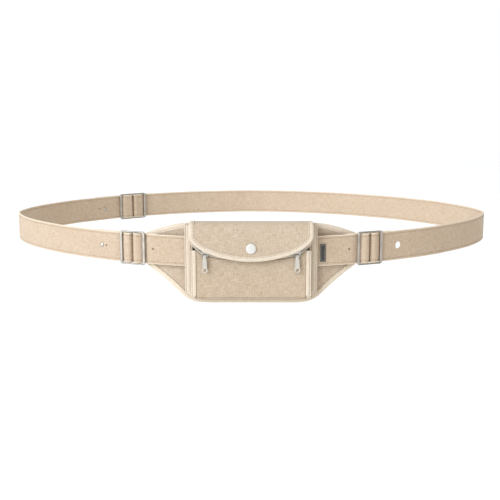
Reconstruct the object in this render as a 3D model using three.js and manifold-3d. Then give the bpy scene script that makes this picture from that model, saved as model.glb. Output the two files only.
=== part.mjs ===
// Canvas money belt: a flat pouch with a snap flap and a zipped front pocket, on a strap loop
// held by three four-bar buckles. Millimetres, +Z up, front towards -Y.
// The origin is the centre of the wearer's waist, at the strap's mid height.
import * as THREE from "three";
import { mergeVertices } from "three/addons/utils/BufferGeometryUtils.js";
import Module from "manifold-3d";

const wasm = await Module();
wasm.setup();

// ---------- driving dimensions ----------
const GAP = 0.3; // between pieces that touch

// the line that the strap's mid layer follows, seen from above
const LOOP_HALF_WIDTH = 267;
const LOOP_BACK = 210;
const LOOP_FRONT = 171;
const BACK_POWER = 1.77;
const FRONT_POWER = 1.57;
const FLAT_HALF = 62; // the pouch's stretch of the front is flat

const STRAP = { height: 30, thick: 2 };
const TAIL_DEPTH = 3.05; // from the main layer's middle to the turned-back layer's

const BUCKLE = {
  half: 14,
  rail: 1.4,
  railDepth: 2.8,
  railOut: 1.8,
  outerBarAt: 12.6,
  outerBarWide: 2.8,
  outerBarThick: 1.6,
  outerBarOut: 2.4,
  innerBarAt: 4.2,
  innerBarRadius: 0.9,
  innerBarOut: 1.2,
};
const BUCKLE_X = { frontLeft: -116, frontRight: 116.2, backLeft: -158.5 };
const BACK_SPREAD = 4.6; // the back buckle's outer bars stand this much further out
// the loop is flat through a buckle, and back on its own line a little further on
const FLAT_REACH = 14;
const CURVED_REACH = 34;

// panel with wings; depths into the belt from the strap's middle
const PANEL = {
  front: 4.4,
  back: 7.4,
  top: 26,
  bottom: -54,
  tip: 104,
  tipTop: 14.4,
  tipBottom: -16.5,
};
const BINDING_WIDTH = 5;
const WING_STRAP = { start: 64.1, dropFrom: 104, drop: 1.2 };

// pouch layers, as distances out from the panel's front face
const PANEL_FACE_Y = -LOOP_FRONT + PANEL.front;
const MAIN = { half: 63.7, wall: 1.5, bottom: -48, top: 25.3, from: 0.6, to: 6.1, round: 9 };
const DIVIDER = { half: 57.9, bottom: -47, top: 20, from: 6.4, to: 7.8, round: 7 };
const MAIN_BINDING = { half: 64.4, width: 6.1, from: 6.4, to: 8.6, top: 25.3 };
const FRONT = { half: 57.9, wall: 1.5, bottom: -46.5, top: 17, from: 8.1, to: 12.9, round: 4.5 };
const WALL = { half: 53.5, bottom: -46, from: 13.2, to: 14.6, round: 3 };
const FRONT_BINDING = { half: 58.2, width: 4.4, from: 13.2, to: 15.2, top: 1.2 };

// zip: one long arc whose ends turn up
const ZIP = {
  lowest: -6.4,
  radius: 210,
  bendX: 43,
  bendRadius: 13,
  endX: 57.4,
  tapeHalf: 2.4,
  tapeFrom: 13.5,
  tapeTo: 14.3,
  coilHalf: 1.3,
  coilTo: 15.1,
};
const SLIDER = {
  x: 44.5,
  half: 3.4,
  halfHigh: 3.8,
  from: 15.4,
  to: 16.5,
  pinOut: 17.8,
  pinDrop: 1.6,
  pinRadius: 0.5,
  postThick: 0.8,
};
const PULL = {
  length: 17,
  half: 1.9,
  thick: 1,
  ring: 2.75,
  holeRadius: 1.6,
  eyeRadius: 1,
  eyeBore: 0.65,
  eyeHalf: 1.2,
};

// flap
const FLAP = {
  half: 59.7,
  lowest: -9,
  cornerFrom: 16,
  cornerPower: 1.82,
  under: 19.2,
  thick: 1.6,
  hingeZ: 27.1,
  bend: 9,
  hingeOut: -0.4,
};
const SNAP = { z: 4, capRadius: 5, socketRadius: 4.5, cavityRadius: 2.8, postRadius: 1.6 };

// ---------- solids ----------
function solid(geometry) {
  const bare = geometry.index ? geometry.toNonIndexed() : geometry.clone();
  bare.deleteAttribute("normal");
  bare.deleteAttribute("uv");
  const merged = mergeVertices(bare, 1e-4);
  return new wasm.Manifold(
    new wasm.Mesh({
      numProp: 3,
      vertProperties: merged.attributes.position.array,
      triVerts: new Uint32Array(merged.index.array),
    }),
  );
}

function geometryOf(manifold) {
  const mesh = manifold.getMesh();
  const geometry = new THREE.BufferGeometry();
  geometry.setAttribute("position", new THREE.BufferAttribute(new Float32Array(mesh.vertProperties), 3));
  geometry.setIndex(new THREE.BufferAttribute(new Uint32Array(mesh.triVerts), 1));
  return geometry;
}

const extrude = (shape, depth) =>
  new THREE.ExtrudeGeometry(shape, { depth, bevelEnabled: false, curveSegments: 10 });

// a shape drawn in front view (X, Z), as a slab between two distances out from the panel's face
function slab(shape, from, to) {
  const geometry = extrude(shape, to - from);
  geometry.rotateX(Math.PI / 2);
  geometry.translate(0, PANEL_FACE_Y - from, 0);
  return geometry;
}

const slabSolid = (shape, from, to) => solid(slab(shape, from, to));

function boxAt(wide, deep, high, x, y, z) {
  const geometry = new THREE.BoxGeometry(wide, deep, high);
  geometry.translate(x, y, z);
  return geometry;
}

// a rod along X, Y or Z
function rod(radius, length, axis, x, y, z, sides = 16) {
  const geometry = new THREE.CylinderGeometry(radius, radius, length, sides);
  if (axis === "X") geometry.rotateZ(Math.PI / 2);
  if (axis === "Z") geometry.rotateX(Math.PI / 2);
  geometry.translate(x, y, z);
  return geometry;
}

// a turned piece on the Y axis, from pairs of radius and distance out towards -Y, given from behind
function turned(profile, sides) {
  const points = profile.map(([radius, out]) => new THREE.Vector2(radius, -out)).reverse();
  return new THREE.LatheGeometry(points, sides);
}

const shapeOf = (points) => new THREE.Shape(points.map(([x, y]) => new THREE.Vector2(x, y)));

// ---------- the loop line ----------
class LoopLine extends THREE.Curve {
  // t runs once round, from the front's middle towards +X: flat, front quarter, back quarter, and back
  getPoint(t, target = new THREE.Vector3()) {
    const side = t <= 0.5 ? 1 : -1;
    const half = t <= 0.5 ? t : 1 - t;
    const flatEnd = 0.05;
    const widest = 0.25;
    if (half < flatEnd) return target.set((side * FLAT_HALF * half) / flatEnd, -LOOP_FRONT, 0);
    if (half < widest) {
      const angle = ((half - flatEnd) / (widest - flatEnd)) * (Math.PI / 2);
      const x = FLAT_HALF + (LOOP_HALF_WIDTH - FLAT_HALF) * Math.sin(angle) ** (2 / FRONT_POWER);
      return target.set(side * x, -LOOP_FRONT * Math.cos(angle) ** (2 / FRONT_POWER), 0);
    }
    const angle = ((half - widest) / (0.5 - widest)) * (Math.PI / 2);
    const x = LOOP_HALF_WIDTH * Math.abs(Math.cos(angle)) ** (2 / BACK_POWER);
    return target.set(side * x, LOOP_BACK * Math.sin(angle) ** (2 / BACK_POWER), 0);
  }
}
const line = new LoopLine();
line.arcLengthDivisions = 4000;
const LOOP_LENGTH = line.getLength();

// a point at a distance along the loop and a distance out from it
function onLoop(along, out) {
  const u = (((along / LOOP_LENGTH) % 1) + 1) % 1;
  const p = line.getPointAt(u);
  const step = 0.0004;
  const a = line.getPointAt((u - step + 1) % 1);
  const b = line.getPointAt((u + step) % 1);
  const t = b.sub(a).normalize();
  return new THREE.Vector2(p.x + t.y * out, p.y - t.x * out);
}

// distance along the loop of a place given by its x, between two fractions of the way round
function stationOf(x, from, to) {
  let low = from;
  let high = to;
  const rising = line.getPointAt(to).x > line.getPointAt(from).x;
  for (let i = 0; i < 40; i++) {
    const mid = (low + high) / 2;
    if (line.getPointAt(mid).x < x === rising) low = mid;
    else high = mid;
  }
  return low * LOOP_LENGTH;
}

const WIDEST = stationOf(LOOP_HALF_WIDTH - 0.01, 0.05, 0.35) / LOOP_LENGTH;
const frontRightStation = (x) => stationOf(x, 0.01, WIDEST);
const frontLeftStation = (x) => stationOf(x, 1 - WIDEST, 0.99);
const backLeftStation = (x) => stationOf(x, 0.5, 1 - WIDEST);

const buckles = [
  { name: "front_left", along: frontLeftStation(BUCKLE_X.frontLeft), face: 1, spread: 0 },
  { name: "front_right", along: frontRightStation(BUCKLE_X.frontRight), face: 1, spread: 0 },
  { name: "back_left", along: backLeftStation(BUCKLE_X.backLeft), face: -1, spread: BACK_SPREAD },
];
const [buckleFrontLeft, buckleFrontRight, buckleBackLeft] = buckles;

// a point of a strap: on the loop, but on the flat line through a buckle when near one
function onStrap(along, out) {
  const point = onLoop(along, out);
  for (const buckle of buckles) {
    const away = along - buckle.along;
    const near = (CURVED_REACH + buckle.spread - Math.abs(away)) / (CURVED_REACH - FLAT_REACH);
    if (near <= 0) continue;
    const at = onLoop(buckle.along, 0);
    const outward = onLoop(buckle.along, 1).sub(at);
    const ahead = new THREE.Vector2(-outward.y, outward.x);
    const flat = at.addScaledVector(ahead, away).addScaledVector(outward, out);
    point.lerp(flat, THREE.MathUtils.smoothstep(near, 0, 1));
  }
  return point;
}

// a band between two centreline offsets, standing up along Z
function standingBand(centre, thick, height) {
  const left = [];
  const right = [];
  centre.forEach((p, i) => {
    const before = centre[Math.max(i - 1, 0)];
    const after = centre[Math.min(i + 1, centre.length - 1)];
    const t = after.clone().sub(before).normalize();
    left.push([p.x - (t.y * thick) / 2, p.y + (t.x * thick) / 2]);
    right.push([p.x + (t.y * thick) / 2, p.y - (t.x * thick) / 2]);
  });
  const geometry = extrude(shapeOf([...left, ...right.reverse()]), height);
  geometry.translate(0, 0, -height / 2);
  return solid(geometry);
}

const STRAIGHT_FROM = 20; // past this distance from a buckle a strap is one plain layer
// a strap's turn up round an inner bar, from its tail: distance along, and out
const ROUND_BAR = [
  [11, -TAIL_DEPTH],
  [7.5, -2.9],
  [4.4, -2.75],
  [2.7, -2.45],
  [1.6, -1.8],
  [1.25, -1],
  [1.4, -0.1],
  [1.6, 0.8],
  [1.8, 1.8],
  [2.3, 2.8],
  [3.3, 3.45],
  [4.6, 3.65],
  [5.8, 3.45],
];
// how it goes on, down under the outer bar
const UNDER_BAR = [
  [6.8, 3.05],
  [8.4, 2.1],
  [9.9, 0.6],
  [11.4, -0.5],
  [13, -0.65],
  [16.5, -0.3],
  [STRAIGHT_FROM, 0],
];

// the strap's turn round a buckle's inner bar, from the turned-back tail's end to the main layer
function turn(buckle, side, tail) {
  const points = [];
  for (let along = tail; along > 12; along -= 7) points.push([along, -TAIL_DEPTH]);
  points.push(...ROUND_BAR);
  points.push(...UNDER_BAR.map(([along, out]) => [along + buckle.spread, out]));
  return points.map(([along, out]) => onStrap(buckle.along + side * along, buckle.face * out));
}

// the main layer between two distances along the loop, without its ends
function run(from, to) {
  const steps = Math.round(Math.abs(to - from) / 9);
  const step = (to - from) / steps;
  return Array.from({ length: steps - 1 }, (_, i) => onStrap(from + step * (i + 1), 0));
}

// a round hole through every layer at one place
function holeThrough(along, z, radius) {
  const at = onLoop(along, 0);
  const out = onLoop(along, 1).sub(at);
  const geometry = new THREE.CylinderGeometry(radius, radius, 16, 16);
  geometry.rotateZ(Math.atan2(out.y, out.x) - Math.PI / 2);
  geometry.translate(at.x, at.y, z);
  return solid(geometry);
}

// ---------- straps ----------
const TAIL = { left: 46, leftBehind: 54, back: 27, wing: 24 };
const STUD_OFFSET = { frontLeft: 37, backLeft: 42 };
const HOLE_OFFSET = 34.4;
const studs = [
  { name: "front_left", along: buckleFrontLeft.along - STUD_OFFSET.frontLeft, face: 1, punch: 5.5 },
  { name: "back_left", along: buckleBackLeft.along + STUD_OFFSET.backLeft, face: -1, punch: 7.5 },
];
const STUD = { shank: 1.3, hole: 1.7, head: 3.1, cap: 2.2, headThick: 1.6, capThick: 0.8 };
const PUNCH_RADIUS = 0.9;
const WING_HOLE_X = 95.5;
const STRAP_HOLE_RADIUS = 3.7;

const strapBand = (centre) => standingBand(centre, STRAP.thick, STRAP.height);

function strapLeft() {
  const from = buckleBackLeft.along + STRAIGHT_FROM + BACK_SPREAD;
  const to = buckleFrontLeft.along - STRAIGHT_FROM;
  const centre = [
    ...turn(buckleBackLeft, 1, TAIL.leftBehind),
    ...run(from, to),
    ...turn(buckleFrontLeft, -1, TAIL.left).reverse(),
  ];
  let band = strapBand(centre);
  studs.forEach((stud) => {
    band = band.subtract(holeThrough(stud.along, 0, STUD.hole));
    band = band.subtract(holeThrough(stud.along + stud.punch, 0, PUNCH_RADIUS));
  });
  return band;
}

function strapBack() {
  const from = buckleFrontRight.along + STRAIGHT_FROM;
  const to = buckleBackLeft.along - STRAIGHT_FROM - BACK_SPREAD;
  const centre = [
    ...turn(buckleFrontRight, 1, TAIL.back),
    ...run(from, to),
    ...turn(buckleBackLeft, -1, TAIL.back).reverse(),
  ];
  const hole = buckleFrontRight.along + HOLE_OFFSET;
  return strapBand(centre).subtract(holeThrough(hole, 0, STRAP_HOLE_RADIUS));
}

// the short strap from a front buckle to the pouch, where it is sewn on a little lower
function wingStrap(buckle, side) {
  const start = side < 0 ? frontRightStation(WING_STRAP.start) : frontLeftStation(-WING_STRAP.start);
  const hole = side < 0 ? frontRightStation(WING_HOLE_X) : frontLeftStation(-WING_HOLE_X);
  const centre = [
    ...turn(buckle, side, TAIL.wing),
    ...run(buckle.along + side * STRAIGHT_FROM, start),
    onLoop(start, 0),
  ];
  const { dropFrom, start: dropTo, drop } = WING_STRAP;
  const band = strapBand(centre).warp((point) => {
    point[2] -= drop * Math.max(0, (dropFrom - Math.abs(point[0])) / (dropFrom - dropTo));
  });
  return band.subtract(holeThrough(hole, 0, PUNCH_RADIUS));
}

// ---------- buckles ----------
function buckleGeometry(spread) {
  const b = BUCKLE;
  const outerBarAt = b.outerBarAt + spread;
  const high = STRAP.height / 2 + GAP;
  const parts = [1, -1].flatMap((side) => [
    boxAt(2 * (b.half + spread), b.railDepth, b.rail, 0, -b.railOut, side * (high + b.rail / 2)),
    boxAt(b.outerBarWide, b.outerBarThick, 2 * high + 1, side * outerBarAt, -b.outerBarOut, 0),
    rod(b.innerBarRadius, 2 * high + 1, "Z", side * b.innerBarAt, -b.innerBarOut, 0, 12),
  ]);
  return geometryOf(parts.map(solid).reduce((all, part) => all.add(part)));
}

// a buckle stands on the loop with its -Y towards the side its bars show on
function placeOnLoop(mesh, along, face) {
  const at = onLoop(along, 0);
  const out = onLoop(along, face).sub(at);
  mesh.position.set(at.x, at.y, 0);
  mesh.rotation.z = Math.atan2(out.y, out.x) + Math.PI / 2;
  return mesh;
}

// ---------- studs: a shank through both strap layers, with a cap in front and a head behind ----------
function studGeometry() {
  const front = STRAP.thick / 2 + GAP;
  const behind = TAIL_DEPTH + STRAP.thick / 2 + GAP;
  const profile = [
    [0, -behind - STUD.headThick],
    [STUD.head * 0.8, -behind - STUD.headThick],
    [STUD.head, -behind - STUD.headThick / 2],
    [STUD.head, -behind],
    [STUD.shank, -behind],
    [STUD.shank, front],
    [STUD.cap, front],
    [STUD.cap * 0.8, front + STUD.capThick],
    [0, front + STUD.capThick],
  ];
  return geometryOf(solid(turned(profile, 16)));
}

// ---------- panel and its binding ----------
// the outline of the panel in front view, with a margin taken off all round
function panelOutline(inset) {
  const right = new THREE.Path();
  right.moveTo(0, PANEL.bottom);
  right.lineTo(42, PANEL.bottom);
  right.bezierCurveTo(62, PANEL.bottom, 66, -47.5, 75, -39);
  right.bezierCurveTo(84, -30.5, 93, -24, PANEL.tip, PANEL.tipBottom);
  right.lineTo(PANEL.tip, PANEL.tipTop);
  right.quadraticCurveTo(78, 25.4, FLAT_HALF, PANEL.top);
  right.lineTo(0, PANEL.top);
  const half = right.getPoints(10);
  const left = half.slice(1, -1).reverse().map((p) => new THREE.Vector2(-p.x, p.y));
  const ring = [...half, ...left];
  return ring.map((p, i) => {
    const before = ring[(i + ring.length - 1) % ring.length];
    const after = ring[(i + 1) % ring.length];
    const a = p.clone().sub(before).normalize();
    const b = after.clone().sub(p).normalize();
    const normal = new THREE.Vector2(-a.y - b.y, a.x + b.x).normalize();
    const miter = inset / Math.max(normal.dot(new THREE.Vector2(-a.y, a.x)), 0.5);
    return [p.x + normal.x * miter, p.y + normal.y * miter];
  });
}

// everything that lies inside an outline in front view, from far in front to far behind
const prism = (outline) => slabSolid(shapeOf(outline), -80, 80);

// a band behind the wing straps, following the loop
function wingBand(front, back) {
  const reach = frontRightStation(PANEL.tip + 6);
  const middle = -(front + back) / 2;
  const steps = 44;
  const centre = Array.from({ length: steps + 1 }, (_, i) => onLoop(reach * ((2 * i) / steps - 1), middle));
  return standingBand(centre, back - front, 2 * Math.max(PANEL.top, -PANEL.bottom) + 4);
}

function panelSolid() {
  return wingBand(PANEL.front, PANEL.back).intersect(prism(panelOutline(BINDING_WIDTH + GAP)));
}

// the binding's top or bottom stretch; both stop under the wing straps' ends
function panelBinding(side) {
  const keep = [
    [-PANEL.tip + 4, 0],
    [PANEL.tip - 4, 0],
    [PANEL.tip - 4, side * 80],
    [-PANEL.tip + 4, side * 80],
  ];
  return wingBand(PANEL.front - GAP, PANEL.back + GAP)
    .intersect(prism(panelOutline(0)).subtract(prism(panelOutline(BINDING_WIDTH))))
    .intersect(prism(keep));
}

// ---------- pouch ----------
// a panel in front view with rounded lower corners
function pocketShape(half, bottom, top, round) {
  const shape = new THREE.Shape();
  shape.moveTo(half, top);
  shape.lineTo(-half, top);
  shape.lineTo(-half, bottom + round);
  shape.absarc(-half + round, bottom + round, round, Math.PI, 1.5 * Math.PI, false);
  shape.lineTo(half - round, bottom);
  shape.absarc(half - round, bottom + round, round, 1.5 * Math.PI, 2 * Math.PI, false);
  return shape;
}

// the side and bottom wall of a pocket, open at the top
function gusset(pocket) {
  const { half, bottom, top, round, wall, from, to } = pocket;
  const outside = pocketShape(half, bottom, top, round);
  const inside = pocketShape(half - wall, bottom + wall, top + 5, round - wall);
  return slabSolid(outside, from, to).subtract(slabSolid(inside, from - 1, to + 1));
}

function dividerPanel() {
  const { half, bottom, top, round, from, to } = DIVIDER;
  return slab(pocketShape(half, bottom, top, round), from, to);
}

// one side's edge tape: the rounded pocket outline less a smaller one, kept on that side
function sideBinding(tape, pocket, side) {
  const { half, width, top, from, to } = tape;
  const { bottom, round } = pocket;
  const outside = pocketShape(half, bottom, top, round);
  const inside = pocketShape(half - width, bottom - 9, top + 5, round);
  const keepWide = 80;
  const middle = side * (half - round + keepWide / 2);
  const keep = solid(boxAt(keepWide, 90, 200, middle, PANEL_FACE_Y, 0));
  return slabSolid(outside, from, to).subtract(slabSolid(inside, from - 1, to + 1)).intersect(keep);
}

// the zip's line in front view, moved up or down
function zipLine(offset) {
  const centreZ = ZIP.lowest + ZIP.radius;
  const startAngle = Math.asin(ZIP.bendX / ZIP.radius);
  const half = [];
  for (let i = 0; i <= 12; i++) {
    const angle = (startAngle * i) / 12;
    const radius = ZIP.radius - offset;
    half.push([radius * Math.sin(angle), centreZ - radius * Math.cos(angle)]);
  }
  const bendX = (ZIP.radius - ZIP.bendRadius) * Math.sin(startAngle);
  const bendZ = centreZ - (ZIP.radius - ZIP.bendRadius) * Math.cos(startAngle);
  for (let i = 1; i <= 5; i++) {
    const angle = startAngle + ((Math.PI / 4 - startAngle) * i) / 5;
    const radius = ZIP.bendRadius - offset;
    half.push([bendX + radius * Math.sin(angle), bendZ - radius * Math.cos(angle)]);
  }
  const [lastX, lastZ] = half.at(-1);
  const rest = ZIP.endX - lastX;
  half.push([lastX + rest, lastZ + rest]);
  const left = half.slice(1).reverse().map(([x, z]) => [-x, z]);
  return [...left, ...half];
}

const zipBand = (low, high, from, to) =>
  slabSolid(shapeOf([...zipLine(low), ...zipLine(high).reverse()]), from, to);

// front wall below the zip, and the facing above it
function frontPanel() {
  const whole = slabSolid(pocketShape(WALL.half, WALL.bottom, FRONT.top, WALL.round), WALL.from, WALL.to);
  const top = [...zipLine(-ZIP.tapeHalf - GAP), [80, 80], [-80, 80]];
  return whole.subtract(slabSolid(shapeOf(top), WALL.from - 1, WALL.to + 1));
}

function frontFacing() {
  const whole = slabSolid(pocketShape(FRONT.half, 0, FRONT.top, 1), WALL.from, WALL.to);
  const below = [...zipLine(ZIP.tapeHalf + GAP), [80, -80], [-80, -80]];
  return whole.subtract(slabSolid(shapeOf(below), WALL.from - 1, WALL.to + 1));
}

function topGusset() {
  const { half, wall, top, from, to } = FRONT;
  const shape = shapeOf([
    [-half + wall + GAP, top - wall],
    [half - wall - GAP, top - wall],
    [half - wall - GAP, top],
    [-half + wall + GAP, top],
  ]);
  return slabSolid(shape, from, to);
}

// ---------- zip slider and pull ----------
const sliderZ = ZIP.lowest + ZIP.radius - Math.sqrt(ZIP.radius ** 2 - SLIDER.x ** 2);
const pinZ = sliderZ - SLIDER.pinDrop;
const pinY = PANEL_FACE_Y - SLIDER.pinOut;

// a shield-shaped body with a bridge for the pull
function sliderSolid(side) {
  const { x, half, halfHigh, from, to, pinOut, pinRadius, postThick } = SLIDER;
  const outline = [
    [-half, -halfHigh * 0.55],
    [-half * 0.5, -halfHigh],
    [half * 0.5, -halfHigh],
    [half, -halfHigh * 0.55],
    [half, halfHigh * 0.55],
    [half * 0.5, halfHigh],
    [-half * 0.5, halfHigh],
    [-half, halfHigh * 0.55],
  ].map(([dx, dz]) => [side * x + dx, sliderZ + dz]);
  let body = slabSolid(shapeOf(outline), from, to);
  const post = PULL.eyeHalf + GAP + postThick / 2;
  const postTop = pinOut + pinRadius + 0.1;
  const postFoot = to - 0.2;
  const postY = PANEL_FACE_Y - (postTop + postFoot) / 2;
  [1, -1].forEach((end) => {
    const block = boxAt(postThick, postTop - postFoot, 1.4, side * x + end * post, postY, pinZ);
    body = body.add(solid(block));
  });
  return body.add(solid(rod(pinRadius, 2 * post, "X", side * x, pinY, pinZ, 10)));
}

// a tapered flat tab that hangs from an eye round the bridge, with a finger ring at its foot
function pullSolid(side) {
  const x = side * SLIDER.x;
  const { half, ring, eyeHalf, eyeRadius, eyeBore, thick } = PULL;
  const foot = pinZ - PULL.length + ring;
  const neckZ = pinZ - 2.6;
  const shoulderZ = pinZ - 4;
  const shape = new THREE.Shape();
  shape.moveTo(x + eyeHalf, pinZ - 0.8);
  shape.lineTo(x - eyeHalf, pinZ - 0.8);
  shape.lineTo(x - eyeHalf, neckZ);
  shape.lineTo(x - half, shoulderZ);
  shape.lineTo(x - ring, foot);
  shape.absarc(x, foot, ring, Math.PI, 2 * Math.PI, false);
  shape.lineTo(x + half, shoulderZ);
  shape.lineTo(x + eyeHalf, neckZ);
  const hole = new THREE.Path();
  hole.absarc(x, foot, PULL.holeRadius, 0, 2 * Math.PI, false);
  shape.holes.push(hole);
  const tab = slabSolid(shape, SLIDER.pinOut - thick / 2, SLIDER.pinOut + thick / 2);
  const eye = solid(rod(eyeRadius, 2 * eyeHalf, "X", x, pinY, pinZ, 14));
  const bore = solid(rod(eyeBore, 2 * eyeHalf + 2, "X", x, pinY, pinZ, 10));
  return tab.add(eye).subtract(bore);
}

// ---------- flap ----------
// the flap's silhouette in front view, with a margin taken off its sides and lower edge
function flapOutline(inset) {
  const half = FLAP.half - inset;
  const drop = FLAP.cornerFrom - FLAP.lowest - inset;
  const points = [[half, 60]];
  const steps = 28;
  for (let i = 0; i <= steps; i++) {
    const angle = (Math.PI * i) / steps;
    const c = Math.cos(angle);
    const x = half * Math.sign(c) * Math.abs(c) ** (2 / FLAP.cornerPower);
    const z = FLAP.cornerFrom - drop * Math.sin(angle) ** (2 / FLAP.cornerPower);
    points.push([Math.abs(c) < 1e-9 ? 0 : x, z]);
  }
  points.push([-half, 60]);
  return points;
}

// the flap's section: flat over the top, round the front edge, then straight down
function flapBand(extra) {
  const top = FLAP.hingeZ + FLAP.thick / 2 + extra;
  const under = FLAP.hingeZ - FLAP.thick / 2 - extra;
  const outer = FLAP.under + FLAP.thick;
  const middle = outer - FLAP.bend;
  const foot = -20;
  const bendZ = FLAP.hingeZ + FLAP.thick / 2 - FLAP.bend;
  const outerRadius = FLAP.bend + extra;
  const innerRadius = FLAP.bend - FLAP.thick - extra;
  const points = [
    [FLAP.hingeOut, under],
    [FLAP.hingeOut, top],
  ];
  const quarter = 8;
  for (let i = 0; i <= quarter; i++) {
    const angle = Math.PI / 2 - ((Math.PI / 2) * i) / quarter;
    points.push([middle + outerRadius * Math.cos(angle), bendZ + outerRadius * Math.sin(angle)]);
  }
  points.push([outer + extra, foot], [FLAP.under - extra, foot]);
  for (let i = quarter; i >= 0; i--) {
    const angle = Math.PI / 2 - ((Math.PI / 2) * i) / quarter;
    points.push([middle + innerRadius * Math.cos(angle), bendZ + innerRadius * Math.sin(angle)]);
  }
  const section = points.map(([out, z]) => [PANEL_FACE_Y - out, z]);
  const geometry = extrude(shapeOf(section), 2 * FLAP.half + 10);
  const across = new THREE.Matrix4().makeBasis(
    new THREE.Vector3(0, 1, 0),
    new THREE.Vector3(0, 0, 1),
    new THREE.Vector3(1, 0, 0),
  );
  geometry.applyMatrix4(across);
  geometry.translate(-FLAP.half - 5, 0, 0);
  return solid(geometry);
}

const snapRod = (radius, from, to) =>
  solid(rod(radius, to - from, "Y", 0, PANEL_FACE_Y - (from + to) / 2, SNAP.z, 24));

const flapOuter = FLAP.under + FLAP.thick;

function flapSolid() {
  const cloth = flapBand(0).intersect(prism(flapOutline(BINDING_WIDTH + GAP)));
  return cloth.subtract(snapRod(1.5, FLAP.under - 1, flapOuter + 1));
}

function flapBinding() {
  const ring = prism(flapOutline(0)).subtract(prism(flapOutline(BINDING_WIDTH)));
  return flapBand(0.3).intersect(ring);
}

// ---------- press stud ----------
function snapCap() {
  const from = flapOuter + GAP;
  const profile = [
    [0, FLAP.under + 0.1],
    [1.2, FLAP.under + 0.1],
    [1.2, from],
    [SNAP.capRadius, from],
    [SNAP.capRadius, from + 0.5],
    [SNAP.capRadius * 0.82, from + 1.1],
    [SNAP.capRadius * 0.45, from + 1.5],
    [0, from + 1.6],
  ];
  const geometry = turned(profile, 28);
  geometry.translate(0, PANEL_FACE_Y, SNAP.z);
  return solid(geometry);
}

const SOCKET = { from: 16.1, roof: 17.9, to: FLAP.under - GAP };
const snapSocket = () =>
  snapRod(SNAP.socketRadius, SOCKET.from, SOCKET.to).subtract(
    snapRod(SNAP.cavityRadius, SOCKET.from - 1, SOCKET.roof),
  );

const snapStud = () =>
  snapRod(SNAP.socketRadius, WALL.to + GAP, WALL.to + 1).add(
    snapRod(SNAP.postRadius, WALL.to + 0.5, WALL.to + 2.7),
  );

// ---------- label ----------
const LABEL = { x: 69.6, wide: 5.6, top: 5.9, bottom: -11.6, thick: 0.6 };

function labelSolid() {
  const middle = frontRightStation(LABEL.x);
  const out = STRAP.thick / 2 + GAP + LABEL.thick / 2;
  const centre = [-1, 0, 1].map((i) => onLoop(middle + (i * LABEL.wide) / 2, out));
  const band = standingBand(centre, LABEL.thick, LABEL.top - LABEL.bottom);
  return band.translate(0, 0, (LABEL.top + LABEL.bottom) / 2);
}

// ---------- materials ----------
const finish = (color, roughness, metalness = 0) => () =>
  new THREE.MeshStandardMaterial({ color, roughness, metalness });
const canvas = finish(0xcdb99a, 0.9);
const tape = finish(0xe8d9c3, 0.85);
const steel = finish(0xb9b4ac, 0.35, 1);
const cap = finish(0xf2efe8, 0.3);
const dark = finish(0x2f3238, 0.8);

// ---------- assembly ----------
const belt = new THREE.Group();

function add(name, shape, material) {
  const geometry = shape.isBufferGeometry ? shape : geometryOf(shape);
  const mesh = new THREE.Mesh(geometry, material());
  mesh.name = name;
  belt.add(mesh);
  return mesh;
}

add("back_panel", panelSolid(), canvas);
add("panel_binding_top", panelBinding(1), tape);
add("panel_binding_bottom", panelBinding(-1), tape);
add("main_gusset", gusset(MAIN), canvas);
add("divider_panel", dividerPanel(), canvas);
add("front_gusset", gusset(FRONT), canvas);
add("front_gusset_top", topGusset(), canvas);
add("front_panel", frontPanel(), canvas);
add("front_facing", frontFacing(), canvas);
add("zip_tape", zipBand(-ZIP.tapeHalf, ZIP.tapeHalf, ZIP.tapeFrom, ZIP.tapeTo), tape);
add("zip_coil", zipBand(-ZIP.coilHalf, ZIP.coilHalf, ZIP.tapeTo + GAP, ZIP.coilTo), steel);

for (const [name, side] of [["left", -1], ["right", 1]]) {
  add("main_binding_" + name, sideBinding(MAIN_BINDING, MAIN, side), tape);
  add("front_binding_" + name, sideBinding(FRONT_BINDING, FRONT, side), tape);
  add("zip_slider_" + name, sliderSolid(side), steel);
  add("zip_pull_" + name, pullSolid(side), steel);
}

add("flap", flapSolid(), canvas);
add("flap_binding", flapBinding(), tape);
add("snap_cap", snapCap(), cap);
add("snap_socket", snapSocket(), steel);
add("snap_stud", snapStud(), steel);

add("wing_strap_left", wingStrap(buckleFrontLeft, 1), canvas);
add("wing_strap_right", wingStrap(buckleFrontRight, -1), canvas);
add("strap_left", strapLeft(), canvas);
add("strap_back", strapBack(), canvas);
add("label", labelSolid(), dark);

buckles.forEach(({ name, along, face, spread }) => {
  placeOnLoop(add("buckle_" + name, buckleGeometry(spread), steel), along, face);
});
studs.forEach(({ name, along, face }) => {
  placeOnLoop(add("strap_stud_" + name, studGeometry(), steel), along, face);
});

export default belt;
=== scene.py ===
import math

import bmesh
import bpy
import numpy as np
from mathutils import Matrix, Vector


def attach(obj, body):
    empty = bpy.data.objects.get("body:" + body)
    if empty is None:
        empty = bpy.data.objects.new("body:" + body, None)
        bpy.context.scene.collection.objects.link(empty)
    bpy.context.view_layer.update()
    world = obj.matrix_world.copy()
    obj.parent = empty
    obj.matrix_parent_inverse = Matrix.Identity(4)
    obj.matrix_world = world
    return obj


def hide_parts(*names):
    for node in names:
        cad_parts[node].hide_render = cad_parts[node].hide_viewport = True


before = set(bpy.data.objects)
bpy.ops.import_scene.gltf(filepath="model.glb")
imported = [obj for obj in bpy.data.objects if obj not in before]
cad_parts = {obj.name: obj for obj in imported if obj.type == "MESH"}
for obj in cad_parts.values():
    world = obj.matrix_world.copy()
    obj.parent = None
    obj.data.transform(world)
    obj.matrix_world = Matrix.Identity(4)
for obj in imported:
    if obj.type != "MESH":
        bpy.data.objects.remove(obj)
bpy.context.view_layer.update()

# ----- sizes, in millimetres, as in the CAD part -----
MM = 0.001
LOOP_HALF_WIDTH, LOOP_BACK, LOOP_FRONT = 267.0, 210.0, 171.0
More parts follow.
